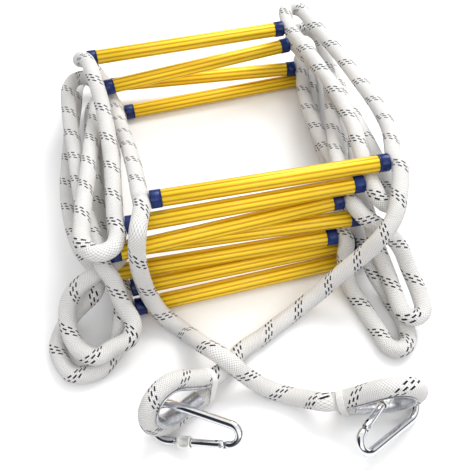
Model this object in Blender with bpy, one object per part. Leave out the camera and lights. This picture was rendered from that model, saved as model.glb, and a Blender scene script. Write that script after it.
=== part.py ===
"""Escape rope ladder, folded as it is stored: eleven capped rungs on two braided ropes that end in hooks.

Lengths are millimetres in the ladder's own frame (+X along the rungs, +Y to the back, +Z up, floor at 0).
CENTRE moves the finished layout so that its box is centred over the origin.
"""

import math

import bmesh
import bpy
from mathutils import Matrix, Vector

MM = 0.001
CENTRE = (-14.28, -21.6)

RUNG_LENGTH = 305.0
CAP_LENGTH = 14.0
CAP_RADIUS = 11.7
CAP_SIDES = 16
SPIGOT_LENGTH = 11.0
TUBE_RIDGE_RADIUS = 11.0
TUBE_VALLEY_RADIUS = 10.3
TUBE_FLUTES = 10
TUBE_BORE_RADIUS = 8.8
SPIGOT_CLEARANCE = 0.5
TUBE_END_GAP = 0.3

ROD_RADIUS = 2.4
ROD_CLEARANCE = 0.4
ROD_REACH = 7.5
ROD_BORE_EXTRA = 1.0

ROPE_RADIUS = 10.0
ROPE_SIDE_RESOLUTION = 2
PASS_GAP = 0.5
PASS_EASE = 0.7

EYE_RADIUS = 31.0
EYE_THROAT = 62.0
THROAT_GAP = 1.4
THROAT_LEAD = 12.0
THROAT_PART = 2.0
THIMBLE_CLEARANCE = 1.15
THIMBLE_WALL = 1.8
THIMBLE_SPREAD = 66.0
WHIP_WALL = 1.1
WHIP_CLEARANCE = 0.6
WHIP_LENGTH = 8.0

WIRE_RADIUS = 5.0
BOW_RADIUS = 22.0
NARROW_RADIUS = 12.0
NARROW_U = -74.0
HINGE_U = -64.0
HINGE_SHOULDER = 6.5
TONGUE_HALF = 1.8
TONGUE_CLEARANCE = 0.4
TONGUE_TIP = 4.5
PIN_RADIUS = 1.5
PIN_CLEARANCE = 0.25
PIN_HALF = 4.5
GATE_RADIUS = 4.6
GATE_TIP_U = -9.0
NOSE_GAP = 0.5
NOSE_TONGUE = 1.5
NOSE_TONGUE_HALF = 1.4
NOSE_TONGUE_HEIGHT = 2.9
NOSE_SLOT_CLEARANCE = 0.5
SPRING_RADIUS = 2.0
SPRING_WIRE = 0.45
SPRING_BORE_CLEARANCE = 0.45
SPRING_LENGTH = 14.0
SPRING_TURNS = 5
SLEEVE_LENGTH = 16.0
SLEEVE_BACK = 2.4
SLEEVE_CLEARANCE = 0.8
SLEEVE_WALL = 1.7
SLEEVE_CHAMFER = 0.8

LEFT, RIGHT = -1, 1
BACK, FRONT = 1, -1

# Middle of each rung and its turn about +Z in degrees, front pile from the top, then back pile from the top.
RUNGS = {
    "f1": ((34.0, -60.0, 144.9), 0.0),
    "f2": ((0.0, -74.0, 124.5), 1.1),
    "f3": ((-26.0, -86.5, 101.4), 4.6),
    "f4": ((-3.0, -83.0, 78.7), -2.2),
    "f5": ((-36.0, -95.0, 56.0), -0.3),
    "f6": ((-7.5, -100.5, 33.2), 2.1),
    "f7": ((-6.5, -114.5, CAP_RADIUS), 3.2),
    "b1": ((-19.0, 263.0, 122.0), 2.2),
    "b2": ((-3.0, 259.5, 79.0), 8.4),
    "b3": ((7.5, 285.0, 35.0), -3.9),
    "b4": ((23.5, 262.0, CAP_RADIUS), 3.9),
}


def along_rung(name):
    turn = math.radians(RUNGS[name][1])
    return Vector((math.cos(turn), math.sin(turn), 0.0))


def passing(name, side, going, rises=(0.0, 0.0, 0.0), reach=12.0):
    """Three points of a rope that runs straight past the end of a rung."""
    axis = along_rung(name)
    across = Vector((-axis.y, axis.x, 0.0)) * going
    middle = Vector(RUNGS[name][0]) + axis * side * (RUNG_LENGTH / 2 + ROPE_RADIUS + PASS_GAP)
    ease = axis * side * PASS_EASE
    up = Vector((0.0, 0.0, 1.0))
    return [
        middle - across * reach + ease + up * rises[0],
        middle + up * rises[1],
        middle + across * reach + ease + up * rises[2],
    ]


class Hook:
    """Where one eye and its carabiner lie: the eye by its frame, the carabiner by the point of its bow on the rope."""

    def __init__(self, label, eye, eye_out, eye_across, standing, seat, seat_degrees, bow_out, bow_gate, link_degrees):
        self.label = label
        self.eye = self.frame(eye, eye_out, eye_across)
        self.standing = standing
        turn = math.radians(seat_degrees)
        self.bow = self.frame((0.0, 0.0, 0.0), bow_out, bow_gate)
        self.bow.translation = Vector(seat) - self.bow @ Vector((math.cos(turn), math.sin(turn), 0.0)) * BOW_RADIUS
        self.link = math.radians(link_degrees)

    @staticmethod
    def frame(centre, first, second):
        first = Vector(first).normalized()
        third = first.cross(Vector(second)).normalized()
        second = third.cross(first)
        rows = Matrix((first, second, third)).transposed().to_4x4()
        rows.translation = Vector(centre)
        return rows

    def eye_points(self):
        """Centreline of the eye in its own plane, from the standing leg round to the cut end."""
        half = ROPE_RADIUS + THROAT_GAP / 2
        throat = Vector((-EYE_THROAT, half))
        start = math.atan2(throat.y, throat.x) - math.acos(EYE_RADIUS / throat.length)
        tangent = Vector((math.cos(start), math.sin(start))) * EYE_RADIUS
        leg = [throat.lerp(tangent, part) for part in (0.0, 0.3, 0.65)]
        arc = []
        for step in range(17):
            angle = start - 2 * start * step / 16
            arc.append(Vector((math.cos(angle), math.sin(angle))) * EYE_RADIUS)
        end = [Vector((point.x, -point.y)) for point in reversed(leg)]
        return [Vector((point.x, point.y * self.standing)) for point in leg + arc + end]

    def eye_route(self):
        """The eye's centreline in the ladder's frame, with the first straight run of the tail before it."""
        lead = Vector((-EYE_THROAT - THROAT_LEAD, (ROPE_RADIUS + THROAT_GAP / 2 + THROAT_PART) * self.standing))
        return [self.eye @ point.to_3d() for point in (lead, *self.eye_points())]


HOOKS = {
    LEFT: Hook(
        "left",
        (-135.5, -280.3, 44.9), (-0.831, -0.392, 0.395), (-0.234, -0.397, -0.887), -1,
        (-158.9, -293.6, 9.6), 30.0, (-0.889, 0.368, -0.274), (-0.107, -0.746, -0.657), 78.0,
    ),
    RIGHT: Hook(
        "right",
        (115.9, -321.6, 41.2), (0.939, -0.166, 0.300), (-0.317, -0.081, 0.945), 1,
        (149.3, -311.1, 16.9), 0.0, (0.748, 0.649, -0.139), (-0.439, 0.640, 0.631), -55.0,
    ),
}

# Each rope from its eye to its cut end at the lowest rung. The tails cross, so the left rope ends in the right hook.
ROUTES = {
    LEFT: [
        (26, -298.5, 20.5), (6, -285.5, 12.6), (-22, -268, 14), (-44, -253, 29), (-57, -242.5, 41), (-70, -229, 44.5),
        (-86, -203, 30),
        (-102.7, -170.5, 11.5), (-125.4, -147, 20), (-137.9, -132.3, 44), (-144.2, -123.4, 82),
        (-144.1, -116.4, 120), (-138.6, -103.6, 145),
        *passing("f1", LEFT, BACK, (2, 0, -1)),
        (-130, 0, 130), (-133, 70, 106), (-138, 145, 76), (-143, 205, 57), (-148, 243, 56.3), (-162, 280, 74),
        (-181, 288, 100),
        *passing("b1", LEFT, FRONT, (-9, 0, 9)),
        (-172, 222, 146), (-166, 190, 148), (-159, 130, 134), (-158, 50, 121), (-162, -30, 123),
        *passing("f2", LEFT, FRONT),
        (-172, -108, 125), (-190, -113, 125), (-205, -96, 125), (-203, -50, 123), (-193, 20, 114), (-182, 100, 103),
        (-170, 180, 88),
        *passing("b2", LEFT, BACK),
        (-174, 262, 79), (-192, 270, 79), (-207, 250, 79), (-211, 190, 80), (-208, 100, 83), (-204, 0, 93),
        *passing("f3", LEFT, FRONT, (0, 0, -1)),
        (-179.5, -123.4, 84), (-172.8, -143.2, 58), (-163.9, -164.7, 40), (-171.6, -179.7, 31.5),
        (-192.2, -188.1, 31.5), (-213.5, -196.1, 31.5), (-232.8, -180.8, 31.5), (-242, -155, 35), (-240, -131, 50),
        (-228, -121, 68), (-208, -113, 78.2), (-187, -102.5, 78.7),
        *passing("f4", LEFT, BACK),
        (-166, -40, 77), (-162, 50, 62), (-157, 130, 44), (-156, 200, 34), (-155, 250, 33.5),
        *passing("b3", LEFT, BACK),
        (-162, 322, 35), (-180, 330, 35), (-196, 310, 35), (-206, 250, 38), (-220, 150, 43), (-228, 50, 46),
        (-218, -40, 53),
        *passing("f5", LEFT, FRONT, (0, 0, -2), 9.0),
        (-206, -113, 46), (-225.2, -119, 31), (-241.7, -127, 20), (-254.5, -140, 11.5), (-261.3, -164.4, 10.6),
        (-245.3, -201.6, 10.6), (-216.2, -203.7, 10.6), (-193.2, -183.2, 10.6), (-183.5, -160.5, 18),
        (-175.5, -140.7, 34),
        *passing("f6", LEFT, BACK),
        (-172, -50, 32), (-168, 40, 27), (-161, 140, 16.5), (-147, 220, 12),
        *passing("b4", LEFT, BACK, (0, 0, -0.5)),
        (-146, 282, 10.7), (-164, 292, 10.6), (-180, 274, 10.6), (-188, 200, 10.6), (-191, 100, 10.6),
        (-187, 0, 10.6), (-176, -80, 11),
        *passing("f7", LEFT, FRONT, (0, 0, -0.4), 9.0),
    ],
    RIGHT: [
        (-57, -234, 16.5), (-38.9, -215, 11.4), (-1.4, -196.3, 10.7), (38.2, -175.2, 12), (72.3, -163.3, 28),
        (100.7, -157.2, 54), (128.6, -153.4, 82), (151.8, -149, 109), (171.1, -134, 125), (183.1, -113.1, 136),
        *passing("f1", RIGHT, BACK, (-1, 0, -0.5)),
        (211, 0, 138), (219, 60, 124), (216, 140, 112), (204, 220, 110), (188, 285, 112), (175, 317, 117),
        (155, 322, 121),
        *passing("b1", RIGHT, FRONT),
        (150, 225, 125), (160, 165, 127), (170, 100, 125), (173, 30, 122), (167, -30, 120),
        *passing("f2", RIGHT, FRONT, (-2.6, -0.6, -1)),
        (168, -99, 117), (183, -101, 108), (192, -83, 103), (194, -30, 102), (192, 40, 101), (188, 110, 100),
        (174, 200, 92),
        *passing("b2", RIGHT, BACK, (1, 0, 0)),
        (169, 312, 79), (187, 318, 79), (202, 298, 78), (200, 235, 73), (182, 150, 72), (156, 50, 84),
        (141, -20, 98),
        *passing("f3", RIGHT, FRONT, (0, 0, 0.9)),
        (146, -104, 99), (162, -120, 93.3), (184, -140, 75), (194, -165, 52), (199, -195, 38), (197, -217, 33),
        (184, -228, 31.5), (172, -214, 32), (170, -188, 35), (168, -157, 44), (162, -126, 62),
        *passing("f4", RIGHT, BACK),
        (158, -40, 77), (150, 60, 60), (152, 160, 46), (162, 230, 37),
        *passing("b3", RIGHT, BACK),
        (181, 304, 35), (199, 310, 35), (213, 290, 35), (208, 220, 38), (188, 110, 40), (152, 0, 43),
        (136, -45, 52),
        *passing("f5", RIGHT, FRONT, (0, 0, -1)),
        (121.8, -124.4, 43), (123.6, -147.7, 17), (132.2, -186.6, 10.6), (140.7, -225, 10.6), (145.1, -246.5, 10.6),
        (157.1, -254, 10.6), (171.5, -243.4, 10.6), (176, -220.5, 10.6), (171.2, -180.9, 11), (158, -146, 27),
        *passing("f6", RIGHT, BACK),
        (158, -40, 27), (159, 60, 16), (164, 160, 14), (180, 230, 13),
        *passing("b4", RIGHT, BACK, (0, 0, -0.5)),
        (199, 302, 10.7), (217, 308, 10.6), (232, 288, 10.6), (227, 210, 10.6), (210, 110, 10.6), (190, 10, 10.6),
        (167, -65, 11),
        *passing("f7", RIGHT, FRONT, (0, 0, -0.4), 9.0),
    ],
}


def smooth(points, steps=12):
    """A centripetal Catmull-Rom curve through the points, read densely."""
    chain = [2 * points[0] - points[1], *points, 2 * points[-1] - points[-2]]
    dense = []
    for p0, p1, p2, p3 in zip(chain, chain[1:], chain[2:], chain[3:]):
        t1 = (p1 - p0).length ** 0.5
        t2 = t1 + (p2 - p1).length ** 0.5
        t3 = t2 + (p3 - p2).length ** 0.5
        for step in range(steps):
            t = t1 + (t2 - t1) * step / steps
            a1 = p0.lerp(p1, t / t1)
            a2 = p1.lerp(p2, (t - t1) / (t2 - t1))
            a3 = p2.lerp(p3, (t - t2) / (t3 - t2))
            b1 = a1.lerp(a2, t / t2)
            b2 = a2.lerp(a3, (t - t1) / (t3 - t1))
            dense.append(b1.lerp(b2, (t - t1) / (t2 - t1)))
    return [*dense, points[-1].copy()]


def thinned(dense, longest=32.0, turn=18.0):
    """Keeps a point wherever the curve has run or turned far enough since the last one."""
    kept = [dense[0]]
    heading = (dense[1] - dense[0]).normalized()
    for here, after in zip(dense[1:-1], dense[2:]):
        now = (after - here).normalized()
        if (here - kept[-1]).length >= longest or math.degrees(heading.angle(now)) >= turn:
            kept.append(here)
            heading = now
    if (kept[-1] - dense[-1]).length < 4.0:
        kept.pop()
    return [*kept, dense[-1]]


def rope_line(side):
    """The whole rope: round the eye of the other side's hook, along the tail and through the ladder."""
    hook = HOOKS[-side]
    eye = list(reversed(hook.eye_route()))
    return smooth(eye + [Vector(point) for point in ROUTES[side]])


def least_gap(line, radius):
    along = [0.0]
    for first, second in zip(line, line[1:]):
        along.append(along[-1] + (second - first).length)
    least = 999.0
    for i in range(0, len(line), 2):
        for j in range(i + 2, len(line), 2):
            if along[j] - along[i] > 60.0:
                least = min(least, (line[i] - line[j]).length - 2 * radius)
    return least, along[-1]


def material(name, colour, roughness, metallic=0.0):
    made = bpy.data.materials.new(name)
    made.use_nodes = True
    shader = made.node_tree.nodes["Principled BSDF"]
    shader.inputs["Base Color"].default_value = (*colour, 1.0)
    shader.inputs["Roughness"].default_value = roughness
    shader.inputs["Metallic"].default_value = metallic
    return made


def to_world(frame=None):
    """Millimetres of a local frame to metres of the centred scene."""
    shift = Matrix.Translation(Vector((-CENTRE[0], -CENTRE[1], 0.0)))
    place = shift @ (frame or Matrix())
    place.translation *= MM
    return place


def add(name, mesh, finish, frame=None):
    made = bpy.data.objects.new(name, mesh)
    bpy.context.scene.collection.objects.link(made)
    made.matrix_world = to_world(frame)
    mesh.materials.clear()
    mesh.materials.append(finish)
    for face in mesh.polygons:
        face.use_smooth = True
    return made


def mesh_of(shape):
    bmesh.ops.recalc_face_normals(shape, faces=shape.faces)
    mesh = bpy.data.meshes.new("shape")
    for vertex in shape.verts:
        vertex.co *= MM
    shape.to_mesh(mesh)
    shape.free()
    return mesh


def skin(rings, capped=True):
    """Joins rings of points into one closed surface; capped closes the two ends, else the rings close on themselves."""
    shape = bmesh.new()
    made = [[shape.verts.new(point) for point in ring] for ring in rings]
    pairs = list(zip(made, made[1:]))
    if not capped:
        pairs.append((made[-1], made[0]))
    for first, second in pairs:
        for i in range(len(first)):
            j = (i + 1) % len(first)
            shape.faces.new((first[i], first[j], second[j], second[i]))
    if capped:
        shape.faces.new(made[0])
        shape.faces.new(made[-1])
    return mesh_of(shape)


def turned(profile, sides, phase=0.0):
    """A closed profile of (x, radius) points turned about the X axis."""
    rings = []
    for x, radius in profile:
        ring = []
        for i in range(sides):
            angle = 2 * math.pi * i / sides + phase
            ring.append(Vector((x, radius * math.cos(angle), radius * math.sin(angle))))
        rings.append(ring)
    return skin(rings, capped=False)


def bar(radius, start, end, sides, phase=0.0):
    """A round bar along X."""
    rings = []
    for x in (start, end):
        ring = []
        for i in range(sides):
            angle = 2 * math.pi * i / sides + phase
            ring.append(Vector((x, radius * math.cos(angle), radius * math.sin(angle))))
        rings.append(ring)
    return skin(rings)


def block(low, high):
    shape = bmesh.new()
    bmesh.ops.create_cube(shape, size=1.0)
    for vertex in shape.verts:
        part = vertex.co + Vector((0.5, 0.5, 0.5))
        vertex.co = Vector([a + (b - a) * t for a, b, t in zip(low, high, part)])
    return mesh_of(shape)


def tube(points, radius, resolution):
    """A tube through the points, made as a bevelled curve and read back as a mesh."""
    data = bpy.data.curves.new("tube", "CURVE")
    data.dimensions = "3D"
    data.bevel_depth = radius * MM
    data.bevel_resolution = resolution
    data.use_fill_caps = True
    spline = data.splines.new("POLY")
    spline.points.add(len(points) - 1)
    for knot, point in zip(spline.points, points):
        knot.co = (*(point * MM), 1.0)
    holder = bpy.data.objects.new("tube", data)
    bpy.context.scene.collection.objects.link(holder)
    bpy.context.view_layer.update()
    mesh = bpy.data.meshes.new_from_object(holder.evaluated_get(bpy.context.evaluated_depsgraph_get()))
    bpy.data.objects.remove(holder)
    shape = bmesh.new()
    shape.from_mesh(mesh)
    bmesh.ops.remove_doubles(shape, verts=shape.verts, dist=1e-6)
    bmesh.ops.recalc_face_normals(shape, faces=shape.faces)
    shape.to_mesh(mesh)
    shape.free()
    return mesh


def helper(mesh, frame=None):
    """A hidden object that only cuts or joins."""
    made = bpy.data.objects.new("helper", mesh)
    bpy.context.scene.collection.objects.link(made)
    made.matrix_world = to_world(frame)
    made.hide_render = True
    made.display_type = "WIRE"
    return made


def combine(target, tool, operation):
    modifier = target.modifiers.new(operation.title(), "BOOLEAN")
    modifier.operation = operation
    modifier.solver = "EXACT"
    modifier.object = tool


def settle(target):
    """Applies the modifiers, so that the object is a plain mesh."""
    bpy.context.view_layer.update()
    done = bpy.data.meshes.new_from_object(target.evaluated_get(bpy.context.evaluated_depsgraph_get()))
    tools = [modifier.object for modifier in target.modifiers]
    target.modifiers.clear()
    target.data = done
    for tool in tools:
        bpy.data.objects.remove(tool)


def joined(pieces):
    """Several separate meshes as one, for a tool that cuts in several places."""
    shape = bmesh.new()
    for mesh in pieces:
        shape.from_mesh(mesh)
    made = bpy.data.meshes.new("tool")
    shape.to_mesh(made)
    shape.free()
    return made


def rung_frame(name):
    frame = Matrix.Rotation(math.radians(RUNGS[name][1]), 4, "Z")
    frame.translation = Vector(RUNGS[name][0])
    return frame


def build_rung(name, yellow, navy, steel):
    frame = rung_frame(name)
    inner = RUNG_LENGTH / 2 - CAP_LENGTH
    reach = inner - TUBE_END_GAP
    outside = []
    bore = []
    for x in (-reach, reach):
        ring = []
        for i in range(2 * TUBE_FLUTES):
            angle = math.pi * i / TUBE_FLUTES
            radius = TUBE_VALLEY_RADIUS if i % 2 else TUBE_RIDGE_RADIUS
            ring.append(Vector((x, radius * math.cos(angle), radius * math.sin(angle))))
        outside.append(ring)
        bore.append([Vector((x, *(point.yz.normalized() * TUBE_BORE_RADIUS))) for point in ring])
    add(f"rung_tube_{name}", skin([*outside, *reversed(bore)], capped=False), yellow, frame)

    hole = ROD_RADIUS + ROD_CLEARANCE
    outer = CAP_RADIUS / math.cos(math.pi / CAP_SIDES)
    spigot = TUBE_BORE_RADIUS - SPIGOT_CLEARANCE
    for side, label in ((LEFT, "left"), (RIGHT, "right")):
        profile = [
            (side * RUNG_LENGTH / 2, hole),
            (side * RUNG_LENGTH / 2, outer),
            (side * inner, outer),
            (side * inner, spigot),
            (side * (inner - SPIGOT_LENGTH), spigot),
            (side * (inner - SPIGOT_LENGTH), hole),
        ]
        add(f"rung_cap_{name}_{label}", turned(profile, CAP_SIDES, math.pi / CAP_SIDES), navy, frame)
    rod = RUNG_LENGTH / 2 + ROD_REACH
    add(f"tie_rod_{name}", bar(ROD_RADIUS, -rod, rod, 8), steel, frame)


def build_rope(side, label, cotton):
    line = rope_line(side)
    gap, length = least_gap(line, ROPE_RADIUS)
    print(f"rope_{label}: length {length:.0f} mm, least gap to itself {gap:.2f} mm")
    rope = add(f"rope_{label}", tube(thinned(line), ROPE_RADIUS, ROPE_SIDE_RESOLUTION), cotton)
    cuts = []
    for name in RUNGS:
        inside = side * (RUNG_LENGTH / 2 - CAP_LENGTH)
        far = side * (RUNG_LENGTH / 2 + ROD_REACH + ROD_BORE_EXTRA)
        cut = bar(ROD_RADIUS + ROD_CLEARANCE, inside, far, 8)
        frame = rung_frame(name)
        frame.translation *= MM
        cut.transform(frame)
        cuts.append(cut)
    combine(rope, helper(joined(cuts)), "DIFFERENCE")
    settle(rope)
    return line


def build_eye(hook, line, galvanised, thread):
    route = hook.eye_points()
    kept = route[1:-1]
    rings = []
    for before, here, after in zip(route, kept, route[2:]):
        heading = (after - before).normalized()
        inward = Vector((heading.y, -heading.x)) * hook.standing
        ring = []
        for radius, order in ((ROPE_RADIUS + THIMBLE_CLEARANCE, 1), (ROPE_RADIUS + THIMBLE_CLEARANCE + THIMBLE_WALL, -1)):
            for step in range(7):
                angle = math.radians(THIMBLE_SPREAD * order * (step / 3 - 1))
                flat = here + inward * radius * math.cos(angle)
                ring.append(Vector((flat.x, flat.y, radius * math.sin(angle))))
        rings.append(ring)
    add(f"thimble_{hook.label}", skin(rings), galvanised, hook.eye)

    rings = []
    for distance in (EYE_THROAT - WHIP_LENGTH - 1.0, EYE_THROAT - 1.0):
        spread = ROPE_RADIUS + THROAT_GAP / 2 + (EYE_THROAT - distance) * 0.36
        tall = ROPE_RADIUS + WHIP_CLEARANCE + WHIP_WALL
        ring = []
        for end in (1, -1):
            for step in range(9):
                angle = math.pi * (step / 8 - 0.5)
                ring.append(Vector((-distance, end * (spread + tall * math.cos(angle)), end * tall * math.sin(angle))))
        rings.append(ring)
    whip = add(f"whipping_{hook.label}", skin(rings), thread, hook.eye)
    near = [point for point in thinned(line) if (hook.eye.translation - point).length < EYE_THROAT + 45.0]
    tool = tube(near, ROPE_RADIUS + WHIP_CLEARANCE, 6)
    combine(whip, helper(tool), "DIFFERENCE")
    settle(whip)


def wire_points():
    """Centreline of the carabiner body in its own plane, from the hinge round to the nose."""
    narrow = Vector((NARROW_U, BOW_RADIUS - NARROW_RADIUS))
    slope = math.acos((BOW_RADIUS - NARROW_RADIUS) / narrow.length)
    spine = math.atan2(narrow.y, narrow.x) + slope
    points = [Vector((HINGE_U - HINGE_SHOULDER, BOW_RADIUS))]
    for step in range(11):
        angle = math.pi / 2 + (spine - math.pi / 2) * step / 10
        points.append(narrow + Vector((math.cos(angle), math.sin(angle))) * NARROW_RADIUS)
    for step in range(15):
        angle = spine + (2.5 * math.pi - spine) * step / 14
        points.append(Vector((math.cos(angle), math.sin(angle))) * BOW_RADIUS)
    points.append(Vector((GATE_TIP_U + NOSE_GAP, BOW_RADIUS)))
    return [point.to_3d() for point in points]


def cross_bar(radius, half, at, sides=12):
    """A round bar across the carabiner's plane."""
    mesh = bar(radius, -half, half, sides)
    place = Matrix.Rotation(math.radians(90), 4, "Y")
    place.translation = at * MM
    mesh.transform(place)
    return mesh


def build_carabiner(hook, zinc, steel):
    label = hook.label
    hinge = Vector((HINGE_U, BOW_RADIUS, 0.0))
    body = add(f"carabiner_body_{label}", tube(wire_points(), WIRE_RADIUS, ROPE_SIDE_RESOLUTION), zinc, hook.bow)
    root = HINGE_U - HINGE_SHOULDER - 3.0
    tall = Vector((0.0, GATE_RADIUS - 0.9, TONGUE_HALF))
    tongue = block(Vector((root, BOW_RADIUS, 0.0)) - tall, Vector((HINGE_U + TONGUE_TIP, BOW_RADIUS, 0.0)) + tall)
    combine(body, helper(tongue, hook.bow), "UNION")
    nose = Vector((0.0, NOSE_TONGUE_HEIGHT, NOSE_TONGUE_HALF))
    catch = block(
        Vector((GATE_TIP_U - NOSE_TONGUE, BOW_RADIUS, 0.0)) - nose,
        Vector((GATE_TIP_U + NOSE_GAP + 3.0, BOW_RADIUS, 0.0)) + nose,
    )
    combine(body, helper(catch, hook.bow), "UNION")
    combine(body, helper(cross_bar(PIN_RADIUS + PIN_CLEARANCE, 8.0, hinge), hook.bow), "DIFFERENCE")
    settle(body)

    swing = hook.bow @ Matrix.Translation(hinge)
    length = GATE_TIP_U - HINGE_U
    gate = add(f"gate_{label}", bar(GATE_RADIUS, 0.0, length, 16), zinc, swing)
    centre = Vector((0.0, 0.0, 0.0))
    combine(gate, helper(cross_bar(GATE_RADIUS, GATE_RADIUS - 0.3, centre, 16), swing), "UNION")
    slot = TONGUE_HALF + TONGUE_CLEARANCE
    fork = block(Vector((-8.0, -9.0, -slot)), Vector((TONGUE_TIP + 2.5, 9.0, slot)))
    combine(gate, helper(fork, swing), "DIFFERENCE")
    catch_slot = NOSE_TONGUE_HALF + NOSE_SLOT_CLEARANCE
    tip = block(Vector((length - NOSE_TONGUE - 1.5, -9.0, -catch_slot)), Vector((length + 3.0, 9.0, catch_slot)))
    combine(gate, helper(tip, swing), "DIFFERENCE")
    combine(gate, helper(cross_bar(PIN_RADIUS + PIN_CLEARANCE, 8.0, centre), swing), "DIFFERENCE")
    start = TONGUE_TIP + 3.1
    bore = SPRING_RADIUS + SPRING_WIRE + SPRING_BORE_CLEARANCE
    combine(gate, helper(bar(bore, start - 2.0, start + SPRING_LENGTH + 0.8, 12), swing), "DIFFERENCE")
    settle(gate)

    add(f"hinge_pin_{label}", cross_bar(PIN_RADIUS, PIN_HALF, centre), steel, swing)
    coil = []
    for step in range(SPRING_TURNS * 9 + 1):
        angle = 2 * math.pi * step / 9
        x = start + SPRING_WIRE + (SPRING_LENGTH - 2 * SPRING_WIRE) * step / (SPRING_TURNS * 9)
        coil.append(Vector((x, SPRING_RADIUS * math.cos(angle), SPRING_RADIUS * math.sin(angle))))
    add(f"gate_spring_{label}", tube(coil, SPRING_WIRE, 1), steel, swing)

    end = length - SLEEVE_BACK
    begin = end - SLEEVE_LENGTH
    inner = GATE_RADIUS + SLEEVE_CLEARANCE
    outer = inner + SLEEVE_WALL
    profile = [
        (begin, inner),
        (begin, outer - SLEEVE_CHAMFER),
        (begin + SLEEVE_CHAMFER, outer),
        (end - SLEEVE_CHAMFER, outer),
        (end, outer - SLEEVE_CHAMFER),
        (end, inner),
    ]
    add(f"screw_sleeve_{label}", turned(profile, 16), zinc, swing)


def main():
    for existing in list(bpy.data.objects):
        bpy.data.objects.remove(existing)
    yellow = material("rung_yellow", (0.95, 0.62, 0.03), 0.35)
    navy = material("cap_navy", (0.01, 0.03, 0.16), 0.3)
    steel = material("rod_steel", (0.55, 0.56, 0.58), 0.35, 1.0)
    cotton = material("rope_white", (0.82, 0.81, 0.78), 0.9)
    galvanised = material("thimble_steel", (0.4, 0.41, 0.43), 0.4, 1.0)
    thread = material("whipping_thread", (0.86, 0.86, 0.84), 0.9)
    zinc = material("hook_zinc", (0.75, 0.76, 0.78), 0.22, 1.0)

    for name in RUNGS:
        build_rung(name, yellow, navy, steel)
    lines = {}
    for side, label in ((LEFT, "left"), (RIGHT, "right")):
        lines[side] = build_rope(side, label, cotton)
    for side, hook in HOOKS.items():
        build_eye(hook, lines[-side], galvanised, thread)
        build_carabiner(hook, zinc, steel)


if __name__ == "__main__":
    main()
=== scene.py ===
"""Dresses the folded escape rope ladder: braided ropes, fluted rungs, thimbles and screw-gate hooks.

Lengths are millimetres in the ladder's own frame, as its solids have them, where nothing else is said.
to_scene() takes a point to metres of the scene.
"""

import logging
import math
from dataclasses import dataclass
from enum import Enum
from typing import Sequence

import bmesh
import bpy
from bpy.types import Material, Mesh, NodeInputs, NodeOutputs, NodeSocket, NodeTree, Object
from mathutils import Matrix, Vector, noise


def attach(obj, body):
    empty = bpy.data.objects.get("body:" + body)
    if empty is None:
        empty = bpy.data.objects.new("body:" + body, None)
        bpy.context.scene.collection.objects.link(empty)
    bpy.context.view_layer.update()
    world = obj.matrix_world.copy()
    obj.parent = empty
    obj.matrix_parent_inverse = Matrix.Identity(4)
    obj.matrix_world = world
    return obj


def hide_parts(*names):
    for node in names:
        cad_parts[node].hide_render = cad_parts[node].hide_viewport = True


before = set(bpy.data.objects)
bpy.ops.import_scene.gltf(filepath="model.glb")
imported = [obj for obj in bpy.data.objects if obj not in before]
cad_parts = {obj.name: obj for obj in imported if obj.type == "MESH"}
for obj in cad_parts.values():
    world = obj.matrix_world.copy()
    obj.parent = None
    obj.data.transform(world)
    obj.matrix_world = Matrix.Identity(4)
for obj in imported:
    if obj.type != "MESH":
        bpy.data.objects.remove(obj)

log = logging.getLogger("rope_ladder")

MM = 0.001
CENTRE = Vector((-14.28, -21.6, 0.0))
LAY_MAP = "lay"
UP = Vector((0.0, 0.0, 1.0))

Ring = list[Vector]
Line = Sequence[Vector]
Triple = tuple[float, float, float]


class Side(Enum):
    """The two ends of the rungs, as the camera sees them."""

    LEFT = -1
    RIGHT = 1

    @property
    def label(self) -> str:
        """The word that node names end in."""
        return self.name.lower()

    @property
    def other(self) -> "Side":
        """The opposite end."""
        return Side(-self.value)


class Going(Enum):
    """The way a rope runs past the end of a rung."""

    BACK = 1
    FRONT = -1


class Slot(Enum):
    """The record's material slots."""

    RUNG = "rung_yellow"
    CAP = "cap_navy"
    ROD = "rod_steel"
    ROPE = "rope_white"
    THIMBLE = "thimble_steel"
    THREAD = "whipping_thread"
    HOOK = "hook_zinc"


def to_scene(point: Vector) -> Vector:
    """Millimetres of the ladder's own frame to metres of the scene."""
    return (point - CENTRE) * MM


@dataclass(frozen=True)
class RungPlace:
    """Where one rung lies: its middle and its turn about +Z in degrees."""

    name: str
    middle: Triple
    yaw: float

    def axis(self) -> Vector:
        """Direction of the rung, from its left end to its right."""
        turn = math.radians(self.yaw)
        return Vector((math.cos(turn), math.sin(turn), 0.0))

    def matrix(self) -> Matrix:
        """The rung's own frame, with +X along it.

        Returns:
            The frame as a matrix of millimetres.
        """
        place = Matrix.Rotation(math.radians(self.yaw), 4, "Z")
        place.translation = Vector(self.middle)
        return place


CAP_RADIUS = 11.7
FLUTES = 10
RUNG_LENGTH = 305.0
ROPE_RADIUS = 10.0
BOW_RADIUS = 22.0

# Front pile from the top, then back pile from the top.
RUNG_PLACES = {
    place.name: place
    for place in (
        RungPlace("f1", (34.0, -60.0, 144.9), 0.0),
        RungPlace("f2", (0.0, -74.0, 124.5), 1.1),
        RungPlace("f3", (-26.0, -86.5, 101.4), 4.6),
        RungPlace("f4", (-3.0, -83.0, 78.7), -2.2),
        RungPlace("f5", (-36.0, -95.0, 56.0), -0.3),
        RungPlace("f6", (-7.5, -100.5, 33.2), 2.1),
        RungPlace("f7", (-6.5, -114.5, CAP_RADIUS), 3.2),
        RungPlace("b1", (-19.0, 263.0, 122.0), 2.2),
        RungPlace("b2", (-3.0, 259.5, 79.0), 8.4),
        RungPlace("b3", (7.5, 285.0, 35.0), -3.9),
        RungPlace("b4", (23.5, 262.0, CAP_RADIUS), 3.9),
    )
}


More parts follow.
